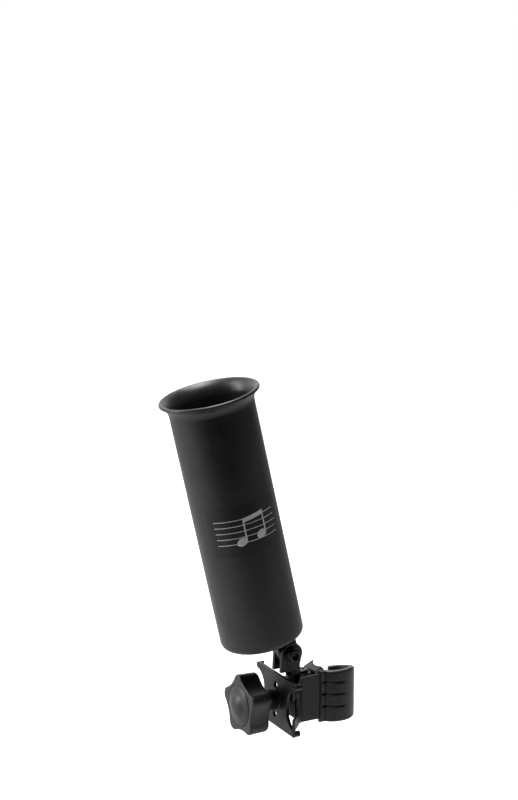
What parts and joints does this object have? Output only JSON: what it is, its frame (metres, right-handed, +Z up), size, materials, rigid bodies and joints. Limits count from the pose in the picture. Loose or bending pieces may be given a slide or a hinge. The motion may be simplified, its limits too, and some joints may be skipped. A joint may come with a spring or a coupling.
{
  "type": "drum stick holder",
  "caption": "Leaning black plastic cup for drum sticks on a tilting clevis, carried by a hook-and-screw clamp for a round stand tube.",
  "frame": {"origin": "where the axis of the gripped stand tube crosses the clamp screw's axis", "axes": "+Z up the stand tube, -X from the tube towards the clamp knob, Y along the cup's tilt bolt"},
  "size_m": [0.1285, 0.0598, 0.2169],
  "materials": {
    "cup_plastic": "satin moulded",
    "label_film": "thin glossy film",
    "knob_plastic": "satin moulded",
    "moulded_black": "matt moulded",
    "boot_rubber": "soft matt",
    "powder_coat": "black powder coat",
    "black_fastener": "black zinc",
    "plain_steel": "turned",
    "pad_felt": "pressed felt"
  },
  "bodies": {
    "hook_frame": {"hook_strap": "powder_coat", "hook_boot": "boot_rubber", "wing_plate": "powder_coat", "thread_boss": "powder_coat"},
    "carrier": {"carrier_block": "powder_coat", "saddle_shoe": "moulded_black", "shoe_screws": "black_fastener", "retainer_ring": "plain_steel", "thrust_washer": "plain_steel", "swivel_screw": "black_fastener", "swivel_washer": "black_fastener"},
    "knob": {"clamp_screw": "black_fastener", "knob_body": "knob_plastic", "knob_insert": "plain_steel", "knob_cap": "knob_plastic", "screw_clip": "plain_steel"},
    "bracket": {"swivel_bracket": "powder_coat", "tilt_bolt": "black_fastener", "tilt_nut": "black_fastener", "tilt_washers": "black_fastener", "friction_washers": "moulded_black"},
    "cup": {"cup_shell": "cup_plastic", "tilt_lug": "powder_coat", "lug_screws": "black_fastener", "lug_washers": "black_fastener", "floor_pad": "pad_felt", "cup_label": "label_film"}
  },
  "joints": [
    {"name": "knob_turn", "type": "hinge", "parent": "carrier", "child": "knob", "pos_m": [-0.06, 0, 0], "axis": [1, 0, 0], "range_deg": [-1800, 0]},
    {"name": "clamp_slide", "type": "slide", "parent": "hook_frame", "child": "carrier", "axis": [1, 0, 0], "range_m": [-0.00625, 0]},
    {"name": "bracket_swivel", "type": "hinge", "parent": "carrier", "child": "bracket", "pos_m": [-0.021, 0, 0.012], "axis": [0, 0, 1], "range_deg": [-45, 14]},
    {"name": "cup_tilt", "type": "hinge", "parent": "bracket", "child": "cup", "pos_m": [-0.0311, 0, 0.0279], "axis": [0, 1, 0], "range_deg": [-20, 13]}
  ],
  "couplings": [
    {"joint": "knob_turn", "follows": "clamp_slide", "rad_per_m": 5026.5}
  ]
}
